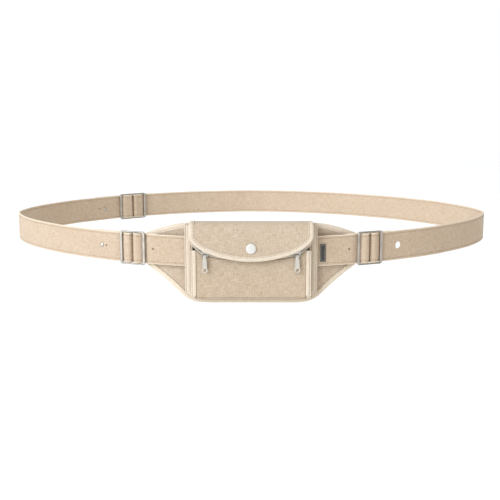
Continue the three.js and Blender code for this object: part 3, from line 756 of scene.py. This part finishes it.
def make_studs():
    behind = TAIL_DEPTH + 1.3
    head = [(0, -1.6), (2.4, -1.6), (2.9, -1.3), (3.1, -0.8), (3.1, -0.1), (2.9, 0), (1.3, 0)]
    profile = [(r, -behind + out) for r, out in head]
    profile += [(1.3, 1.3), (2.0, 1.3), (2.2, 1.4), (2.15, 1.7), (1.8, 2.0), (1.0, 2.1), (0, 2.1)]
    for name, (along, face, _) in STUDS.items():
        parts = turned_on_loop(lathe_parts(profile, 32), along, face)
        make("stud_" + name, parts, BUCKLE_METAL, "belt", "buckle_metal", "strap_stud_" + name)


make_studs()


# ----- panel -----
def bezier(*points):
    """A curve with three or four control points, as a list of points after its first."""
    t = np.linspace(0, 1, 15)[1:, None]
    order = len(points) - 1
    terms = [math.comb(order, k) * (1 - t) ** (order - k) * t**k * np.array(p) for k, p in enumerate(points)]
    return sum(terms).tolist()


def panel_edge():
    """The panel's right half in front view: its foot from the middle out, and its top from the tip in."""
    foot = [(0, PANEL_BOTTOM), (42, PANEL_BOTTOM)]
    foot += bezier((42, PANEL_BOTTOM), (62, PANEL_BOTTOM), (66, -47.5), (75, -39))
    foot += bezier((75, -39), (84, -30.5), (93, -24), (PANEL_TIP, TIP_BOTTOM))
    top = [(PANEL_TIP, TIP_TOP)] + bezier((PANEL_TIP, TIP_TOP), (78.0, 25.4), (FLAT_HALF, PANEL_TOP))
    top.append((0, PANEL_TOP))
    return np.array(foot), np.array(top)


FOOT, TOP = panel_edge()
PANEL_MID = -(PANEL_FRONT + PANEL_BACK) / 2


def on_panel(x, z, level):
    """On the panel, at a distance out from its middle layer."""
    return panel_place(x, z, PANEL_MID + level)


def bound(h):
    """The section of a tape round a cloth edge, h from its middle: a band, a sewn groove and an inner lip."""
    fold = 0.45
    lip = [(0, -fold), (0, 0), (0.15, 0.2), (0.5, 0.24), (0.8, 0.12), (1.05, -0.28), (1.35, -0.06), (2, 0.08)]
    face = [(BINDING - a, h + b) for a, b in lip]
    face += [(1.6, h + 0.1), (0.8, h - 0.05), (0.25, h * 0.6), (0.0, h * 0.2)]
    low = h - fold
    inner = [(BINDING, -low), (1.3, -low), (fold + 0.1, -low * 0.5), (fold + 0.1, low * 0.5), (1.3, low)]
    return face + [(a, -b) for a, b in face[::-1]] + inner


def mirrored(half):
    """A whole line from its right half, from left to right."""
    left = [(-x, z) for x, z in half[::-1] if x > 1e-6]
    return np.array(left + [tuple(p) for p in half])


def grid_between(xs, low, high, rows):
    """A grid between two edges given at each x, and each point's distance from its rim."""
    v = np.linspace(0, 1, rows)
    tall = (high - low)[:, None]
    z = low[:, None] + tall * v
    x = np.broadcast_to(xs[:, None], z.shape)
    to_side = np.minimum(xs - xs[0], xs[-1] - xs)[:, None]
    return x, z, np.minimum(np.minimum(v, 1 - v) * tall, to_side)


def make_panel():
    edge = 4.2
    half = PANEL_TIP - edge
    xs = np.linspace(-half, half, 121)
    low = np.interp(np.abs(xs), FOOT[:, 0], FOOT[:, 1]) + edge * 1.05
    rising = TOP[::-1]
    high = np.interp(np.abs(xs), rising[:, 0], rising[:, 1]) - edge * 1.02
    x, z, to_rim = grid_between(xs, low, high, 43)
    thick = 0.95 + 0.5 * np.clip(to_rim / 2.0, 0, 1) ** 0.5
    uneven = 0.12 * waves(x, z, 34, 2.0)
    front, back = on_panel(x, z, thick + uneven * 0.4), on_panel(x, z, uneven - thick)
    obj = build("panel_cloth", *slab_parts(front, back, x, z), CANVAS)
    held = (to_rim < 1.6).ravel()
    seam = (np.abs(np.abs(x) - 63) < 1.0).ravel()
    settle(obj, np.concatenate([held | seam, held | seam]), 3.0, 0.9)
    limit_panel(obj, x.size)
    keep(obj, "belt", "canvas", "back_panel")


def limit_panel(obj, half):
    """Keeps the panel's front face behind the straps and the pouch."""
    co = mesh_points(obj.data) / MM
    nearest = panel_place(co[:, 0], co[:, 2], -PANEL_FRONT)
    co[:half, 1] = np.maximum(co[:half, 1], nearest[:half, 1] + 0.02)
    obj.data.vertices.foreach_set("co", (co * MM).ravel())
    obj.data.update()


def make_panel_bindings():
    foot = mirrored(FOOT.tolist() + [(PANEL_TIP, -0.2)])
    top = mirrored(TOP[::-1].tolist() + [(PANEL_TIP, 0.2)])
    for name, path, flip, seam_group, tone, node in (
        ("low", foot, 1, "tan_panel", LIT_FOOT_TAPE, "panel_binding_bottom"),
        ("top", top, -1, "panel", TAPE, "panel_binding_top"),
    ):
        line = even_line(path, 2.0)
        parts = edge_parts(line, on_panel, bound(1.75), flip)
        make("panel_tape_" + name, parts, tone, "belt", "binding", node)
        lip, seam = line + inward(line, flip) * (BINDING - 0.45), line + inward(line, flip) * (BINDING + 0.2)
        for side in (1, -1):
            stitch("panel", lip, on_panel, 2.0 * side, 5.6, 3.4, flip_level=side)
            stitch(seam_group, seam, on_panel, 1.42 * side, 3.0, 2.7, flip_level=side)


make_panel()
make_panel_bindings()


# ----- pouch, with levels out from the panel's face -----
MAIN_BOTTOM, MAIN_TOP, MAIN_RADIUS = -48, 25.3, 9
POCKET_HALF, POCKET_BOTTOM, POCKET_TOP, POCKET_RADIUS = 57.9, -46.5, 17, 4.5
WALL, FRONT_HALF, FRONT_LEVEL, FRONT_THICK, ZIP_GAP = 1.4, 53.5, 13.9, 1.3, 2.7


def pocket_line(half, bottom, top, radius):
    """The outline of a pocket in front view, from its top left down and round to its top right."""
    line = [(-half, top)] + circle(radius - half, bottom + radius, radius, 180, 270, 7)
    line += [(-x, z) for x, z in line[::-1]]
    return np.array(line)


def wall_profile(low, high, hollow):
    """A strip of cloth on edge, between two levels, with its middle drawn in."""
    levels = np.linspace(low, high, 7)
    dip = hollow * np.sin(np.linspace(0, math.pi, 7))
    outer = [(d, b) for d, b in zip(dip, levels)]
    return outer + [(a + WALL, b) for a, b in outer[::-1]]


def make_gussets():
    main = (63.7, MAIN_BOTTOM, MAIN_TOP, MAIN_RADIUS)
    front = (POCKET_HALF, POCKET_BOTTOM, POCKET_TOP, POCKET_RADIUS)
    for name, line, step, profile, node in (
        ("main_wall", main, 2.0, (0.6, 6.1, 0.5), "main_gusset"),
        ("front_wall", front, 1.5, (8.1, 12.9, 0.4), "front_gusset"),
    ):
        path = even_line(pocket_line(*line), step)
        make(name, edge_parts(path, pouch_place, wall_profile(*profile)), CANVAS, "belt", "canvas", node)


def flat_piece(name, xs, low, high, level, thick, material, rows, uneven, crown=0.0):
    """A flat cloth piece in front view from its lower and upper edges at each x, and how near its rim is."""
    x, z, to_rim = grid_between(xs, low, high, rows)
    half = thick / 2 * (0.55 + 0.45 * np.clip(to_rim / 1.2, 0, 1) ** 0.5)
    swell = crown * np.clip(to_rim / 22, 0, 1) ** 1.2
    mid = level + uneven * waves(x, z, 26, 1.0 + len(name)) * np.clip(to_rim / 4, 0, 1) + swell
    parts = slab_parts(pouch_place(x, z, mid + half), pouch_place(x, z, mid - half), x, z)
    return build(name, *parts, material), to_rim


def rounded_low(xs, half, bottom, radius):
    """The lower edge of a panel with rounded lower corners."""
    over = np.clip(np.abs(xs) - (half - radius), 0, radius)
    return bottom + radius - np.sqrt(np.maximum(radius**2 - over**2, 0))


def zip_height(xs, offset):
    """The zip line's height at each x, moved across the line."""
    line = zip_line(offset)
    return np.interp(xs, line[:, 0], line[:, 1])


def zip_line(offset=0.0):
    """The zip's line: a wide arc, a tight bend at each side, and a straight end at 45 degrees."""
    centre = ZIP_LOWEST + ZIP_RADIUS
    start = math.asin(ZIP_BEND_X / ZIP_RADIUS)
    to_bend = ZIP_RADIUS - ZIP_BEND_RADIUS
    bend_x, bend_z = to_bend * math.sin(start), centre - to_bend * math.cos(start)
    turned = math.degrees(start) - 90
    half = circle(0, centre, ZIP_RADIUS - offset, -90, turned, 12)
    half += circle(bend_x, bend_z, ZIP_BEND_RADIUS - offset, turned, -45, 5)[1:]
    rest = ZIP_END_X - half[-1][0]
    half.append((half[-1][0] + rest, half[-1][1] + rest))
    return mirrored(half)


def cos_spaced(half, count):
    return -half * np.cos(np.linspace(0, math.pi, count))


def make_pouch():
    xs = cos_spaced(POCKET_HALF, 61)
    low = rounded_low(xs, POCKET_HALF, -47, 7)
    obj, _ = flat_piece("divider_cloth", xs, low, 0 * xs + 20, 7.1, WALL, CANVAS, 25, 0.05)
    keep(obj, "belt", "canvas", "divider_panel")

    xs = cos_spaced(FRONT_HALF, 81)
    high = np.minimum(zip_height(xs, -ZIP_GAP), POCKET_TOP)
    low = rounded_low(xs, FRONT_HALF, -46, 3)
    layer = (FRONT_LEVEL, FRONT_THICK, SHADED_FRONT_CANVAS)
    obj, rim = flat_piece("pocket_front", xs, low, high, *layer, 41, 0.1, 0.25)
    held = (rim < 1.2).ravel()
    settle(obj, np.concatenate([held, held]), 2.5, 0.7)
    seam = mirrored([(51.5, -45.2), (52.7, -44.0), (52.7, -3.0)])
    stitch("tan_pouch", seam, pouch_place, 14.58, radius=0.17)
    keep(obj, "belt", "canvas", "front_panel")

    xs = cos_spaced(57.8, 61)
    low = np.minimum(zip_height(xs, ZIP_GAP), POCKET_TOP - 1)
    layer = (FRONT_LEVEL, FRONT_THICK, CANVAS)
    obj, _ = flat_piece("pocket_facing", xs, low, 0 * xs + POCKET_TOP, *layer, 9, 0.0)
    keep(obj, "belt", "canvas", "front_facing")

    xs = np.linspace(-56.1, 56.1, 41)
    make("pocket_top", slab_parts(*top_grids(xs)), CANVAS, "belt", "canvas", "front_gusset_top")


def top_grids(xs):
    levels = np.linspace(8.15, 12.85, 6)
    x, level = np.meshgrid(xs, levels, indexing="ij")
    sag = 0.15 * waves(x, level, 30, 5.0)
    upper, lower = (pouch_place(x, z + sag * 0.3, level) for z in (16.9, 15.6))
    return upper, lower, x, level


def ridge(wide, low, high):
    """The section of a tape sewn over a seam: a low outer fold, a sewn groove and a fuller inner fold."""
    top = [(0.0, 0.1), (0.05, 0.5), (0.3, 0.72), (0.8, 0.78), (1.15, 0.68), (1.4, 0.4), (1.65, 0.72)]
    top += [(2.0, 0.92), (2.5, 1.0), (wide - 0.9, 1.0), (wide - 0.35, 0.92), (wide - 0.05, 0.65), (wide, 0.1)]
    rise = high - low
    return [(a, low + rise * b) for a, b in top] + [(wide - 0.1, low), (0.1, low)]


def make_pouch_tapes():
    for name, half, bottom, top, radius, wide, low, high in (
        ("main", 64.4, MAIN_BOTTOM, MAIN_TOP, MAIN_RADIUS, 6.1, 6.4, 8.6),
        ("front", 58.2, POCKET_BOTTOM, 1.2, POCKET_RADIUS, 5.2, 13.2, 15.2),
    ):
        whole = pocket_line(half, bottom, top, radius)
        left = whole[: len(whole) // 2 - 1]
        line = even_line(left, 1.2)
        for side_name, side in (("left", 1), ("right", -1)):
            path = line * np.array([side, 1])
            parts = edge_parts(path, pouch_place, ridge(wide, low, high), side)
            make(name + "_tape_" + side_name, parts, TAPE, "belt", "binding", name + "_binding_" + side_name)
            sewn = path + inward(path, side) * 1.4
            stitch("pouch", sewn, pouch_place, high - 0.9)


def make_zip():
    line = even_line(zip_line(), 1.5)
    flat = [(-2.4, 13.55), (-2.2, 14.0), (-1.5, 14.2), (1.5, 14.2), (2.2, 14.0), (2.4, 13.55)]
    make("zip_cloth", edge_parts(line, pouch_place, flat), TAPE, "belt", "binding", "zip_tape")
    fine = even_line(zip_line(), 0.25)
    normal = inward(fine)
    s = lengths(fine)
    parts = []
    long, thick, pitch, off = 0.86, 0.26, 0.62, 0.42
    corners = [(1, 0.7), (0.7, 1), (-0.7, 1), (-1, 0.7), (-1, -0.7), (-0.7, -1), (0.7, -1), (1, -0.7)]
    for k, at in enumerate(np.arange(1.0, s[-1] - 1.0, pitch)):
        n = along_line(at, s, normal)
        t = np.array([n[1], -n[0]])
        centre = along_line(at, s, fine) + n * (off if k % 2 else -off)
        rings = []
        for level, grow in ((14.25, 1.0), (14.85, 1.0), (15.1, 0.7)):
            corner = np.array([centre + n * long * grow * a + t * thick * grow * b for a, b in corners])
            rings.append(pouch_place(corner[:, 0], corner[:, 1], level))
        parts.append(tube_parts(np.array(rings), [0, 0.6, 0.85], np.linspace(0, 4, 9)))
    make("zip_teeth", join_parts(parts), ZIP_METAL, "belt", "zip_metal", "zip_coil")


make_gussets()
make_pouch()
make_pouch_tapes()
make_zip()


# ----- zip sliders and pulls -----
def plate(name, rings, low, high):
    """A flat metal piece between two levels, from its outline in front view and its holes."""
    bevel = 0.2
    curve = bpy.data.curves.new(name, "CURVE")
    curve.dimensions = "2D"
    curve.fill_mode = "BOTH"
    for ring in rings:
        spline = curve.splines.new("POLY")
        spline.points.add(len(ring) - 1)
        for point, (x, z) in zip(spline.points, ring):
            point.co = (x * MM, z * MM, 0, 1)
        spline.use_cyclic_u = True
    curve.extrude = ((high - low) / 2 - bevel) * MM
    curve.bevel_depth = bevel * MM
    curve.bevel_resolution = 2
    curve.offset = -bevel * MM
    temp = bpy.data.objects.new(name, curve)
    bpy.context.scene.collection.objects.link(temp)
    bpy.context.view_layer.update()
    mesh = bpy.data.meshes.new_from_object(temp.evaluated_get(bpy.context.evaluated_depsgraph_get()))
    bpy.data.objects.remove(temp)
    co = mesh_points(mesh) / MM
    verts = pouch_place(co[:, 0], co[:, 1], (low + high) / 2 + co[:, 2])
    faces = [tuple(p.vertices) for p in mesh.polygons]
    bpy.data.meshes.remove(mesh)
    return verts, faces, [(0, 0) for f in faces for _ in f]


def make_zip_metal():
    slider_z = ZIP_LOWEST + ZIP_RADIUS - math.sqrt(ZIP_RADIUS**2 - SLIDER_X**2)
    pin_z = slider_z - PIN_DROP
    for name, side in (("left", -1), ("right", 1)):
        x = side * SLIDER_X
        half = [(1.7, -3.8), (2.9, -3.0), (3.4, -1.6), (3.1, 0.4), (3.0, 2.2), (2.1, 3.6), (0.8, 3.8)]
        half.append((0.3, 2.9))
        shield = mirrored(half)
        body = plate("slider", [[(x + a, slider_z + b) for a, b in shield]], 15.4, 16.5)
        posts = []
        for end in (1, -1):
            rings = []
            for level in (16.4, 17.4, 18.1, 18.4):
                grow = 1.0 if level < 18.2 else 0.6
                across = x + end * 1.9 + 0.4 * grow * np.array([1, 1, -1, -1])
                rings.append(pouch_place(across, pin_z + 0.8 * grow * np.array([1, -1, -1, 1]), level))
            posts.append(tube_parts(np.array(rings), [0, 1, 1.7, 2], np.linspace(0, 3, 5)))
        pin = rod_parts((x, FACE_Y - PIN_OUT, pin_z), (1, 0, 0), 0.5, 3.8, 14)
        solids = join_parts([body, *posts, pin])
        make("slider_body_" + name, solids, ZIP_METAL, "slider_" + name, "zip_metal", "zip_slider_" + name)

        foot = pin_z - 14.25
        neck = [(1.2, pin_z - 0.8), (1.2, pin_z - 2.6), (1.9, pin_z - 4.0), (2.2, foot + 3.6)]
        outline = [(x - a, z) for a, z in neck] + circle(x, foot, 2.75, 145, 395, 30)
        outline += [(x + a, z) for a, z in neck[::-1]]
        tab = plate("pull", [outline, circle(x, foot, 1.6)[:-1]], PIN_OUT - 0.5, PIN_OUT + 0.5)
        eye = ring_parts((x, FACE_Y - PIN_OUT, pin_z), 0.66, 1.0, 2.4)
        solids = join_parts([tab, eye])
        make("pull_tab_" + name, solids, PULL_METAL, "pull_" + name, "zip_metal", "zip_pull_" + name)


def ring_parts(centre, inner, outer, long):
    """A short pipe along X."""
    cx, cy, cz = centre
    sides = 20
    section = [(inner, -long / 2), (outer, -long / 2), (outer, long / 2), (inner, long / 2)]
    rings = []
    for a in even_turns(sides):
        rings.append([(cx + at, cy + r * math.cos(a), cz + r * math.sin(a)) for r, at in section])
    return tube_parts(np.array(rings), np.linspace(0, 6, sides + 1), np.linspace(0, 6, 5), closed=True)


make_zip_metal()


# ----- flap -----
def flap_edge(inset=0.0):
    """The flap's curved edge in its flattened plane, from its left end to its right."""
    half, drop = FLAP_HALF - inset, FLAP_CORNER - FLAP_LOWEST - inset
    low = []
    for a in np.linspace(math.pi, 0, 61):
        c = math.cos(a)
        height = FLAP_CORNER - drop * abs(math.sin(a)) ** (2 / FLAP_POWER)
        low.append((half * signed_power(c, 2 / FLAP_POWER), flap_t(height)))
    return np.array(low)


def make_flap():
    edge = flap_edge(4.1)
    rows = np.linspace(0, 1, 41)
    x = np.broadcast_to(edge[:, 0, None], (len(edge), len(rows)))
    t = edge[:, 1, None] * rows
    to_rim = np.minimum(edge[:, 1, None] - t, edge[-1, 0] - np.abs(x))
    soft = np.clip(to_rim / 6, 0, 1)
    uneven = 0.12 * waves(x, t, 24, 6.0) * soft * np.clip((t - 20) / 8, 0, 1)
    half = 0.5 + 0.22 * np.clip(to_rim / 2, 0, 1)
    parts = slab_parts(flap_place(x, t, uneven + half), flap_place(x, t, uneven - half), x, -t)
    obj = build("flap_cloth", *parts, CANVAS)
    cut(obj, [rod_parts((0, FACE_Y - FLAP_UNDER - 0.8, SNAP_Z), (0, 1, 0), 1.4, 6)])
    keep(obj, "flap", "canvas", "flap")

    line = flap_edge()
    path = even_line(np.vstack([(line[0, 0], 0.8), line, (line[-1, 0], 0.8)]), 1.5)
    make("flap_tape", edge_parts(path, flap_place, bound(1.05), -1), TAPE, "flap", "binding", "flap_binding")
    sewn = path + inward(path, -1) * (BINDING - 1.05)
    for side in (1, -1):
        stitch("tan_flap", sewn, flap_place, 0.82 * side, radius=0.17, flip_level=side)


make_flap()


# ----- press stud and label -----
def make_snap():
    cap = FLAP_UNDER + FLAP_THICK + 0.3
    dome = [(1.15, 0), (4.7, 0), (4.95, 0.12), (5.0, 0.35), (4.85, 0.62), (4.45, 0.88), (3.9, 1.12)]
    dome += [(2.9, 1.35), (1.6, 1.52), (0.6, 1.58), (0, 1.59)]
    shank = FLAP_UNDER + 0.15
    levels = [(0, shank), (1.15, shank)] + [(r, cap + rise) for r, rise in dome]
    out = [(r, -FACE_Y + level) for r, level in levels]
    obj = build("snap_button", *lathe_parts(out, 56, z=SNAP_Z), CAP, 50)
    keep(obj, "flap", "cap_white", "snap_cap")
    for node in ("snap_socket", "snap_stud"):
        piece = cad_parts[node]
        piece.data.materials.clear()
        piece.data.materials.append(ZIP_METAL)


def make_label():
    x, wide, top, bottom = 69.6, 5.6, 5.9, -11.6
    along = station(x, 0, WIDEST)
    across = np.linspace(-wide / 2, wide / 2, 9)
    a, z, to_rim = grid_between(across, 0 * across + bottom, 0 * across + top, 19)
    half = 0.16 + 0.1 * np.clip(to_rim / 0.6, 0, 1)

    def place(a, z, level):
        at = on_loop(along + a, level)
        return np.concatenate([at, np.broadcast_to(z, at.shape[:-1])[..., None]], -1)

    parts = slab_parts(place(a, z, 1.6 + half), place(a, z, 1.6 - half), a, z)
    make("label_cloth", parts, LABEL, "belt", "label_dark", "label")
    side, foot, head = wide / 2 - 0.75, bottom + 0.75, top - 0.75
    rim = [(-side, foot), (side, foot), (side, head), (-side, head), (-side, foot)]
    stitch("label_rim", rim, place, 1.88, 0.8, 0.75, 0.2, 0.08)


make_snap()
make_label()

# ----- sewing -----
TONES = {"tan_straps": STRAP_THREAD, "label_rim": LABEL_THREAD}
for group, parts in THREADS.items():
    tone = TONES.get(group, TAN_THREAD if group.startswith("tan") else THREAD)
    body = "flap" if group.endswith("flap") else "belt"
    make("sewing_" + group, join_parts(parts), tone, body, "binding")


# ----- studio -----
def make_studio():
    reach, down = 6000, -420
    corners = [(x * reach, y * reach, down) for x, y in ((-1, -1), (1, -1), (1, 1), (-1, 1))]
    floor = build("studio_floor", corners, [(0, 1, 2, 3)])
    n = Nodes("studio_white")
    place = n.add("ShaderNodeTexCoord").outputs["Object"]
    white = n.mix(n.noise(place, 2), (0.93, 0.93, 0.93, 1), (0.95, 0.95, 0.95, 1))
    floor.data.materials.append(n.finish(Base_Color=white, Roughness=0.9))

    world = bpy.data.worlds.new("studio")
    world.use_nodes = True
    sky = world.node_tree.nodes["Background"]
    sky.inputs["Color"].default_value = (1.0, 1.0, 1.0, 1.0)
    sky.inputs["Strength"].default_value = 1.0
    bpy.context.scene.world = world

    light = bpy.data.lights.new("key", "AREA")
    light.shape = "SQUARE"
    light.size = 3.6
    light.energy = 385
    light.color = (0.8, 0.88, 1.0)
    place = Vector((-3.95, -3.8, 2.44))
    aimed("key", light, place, -place)


def aimed(name, data, place, ahead):
    """A light or a camera at a place, in metres, looking along a direction."""
    obj = bpy.data.objects.new(name, data)
    obj.location = place
    obj.rotation_mode = "QUATERNION"
    obj.rotation_quaternion = ahead.to_track_quat("-Z", "Y")
    bpy.context.scene.collection.objects.link(obj)
    return obj


def make_camera():
    data = bpy.data.cameras.new("camera")
    data.lens = 65
    data.sensor_width = 36
    yaw, pitch = math.radians(0.13), math.radians(10.29)
    level = math.cos(pitch)
    ahead = Vector((-math.sin(yaw) * level, math.cos(yaw) * level, -math.sin(pitch)))
    bpy.context.scene.camera = aimed("camera", data, (0.0009, -1.035, 0.1568), ahead)


make_studio()
make_camera()
bpy.context.scene.view_settings.view_transform = "Standard"
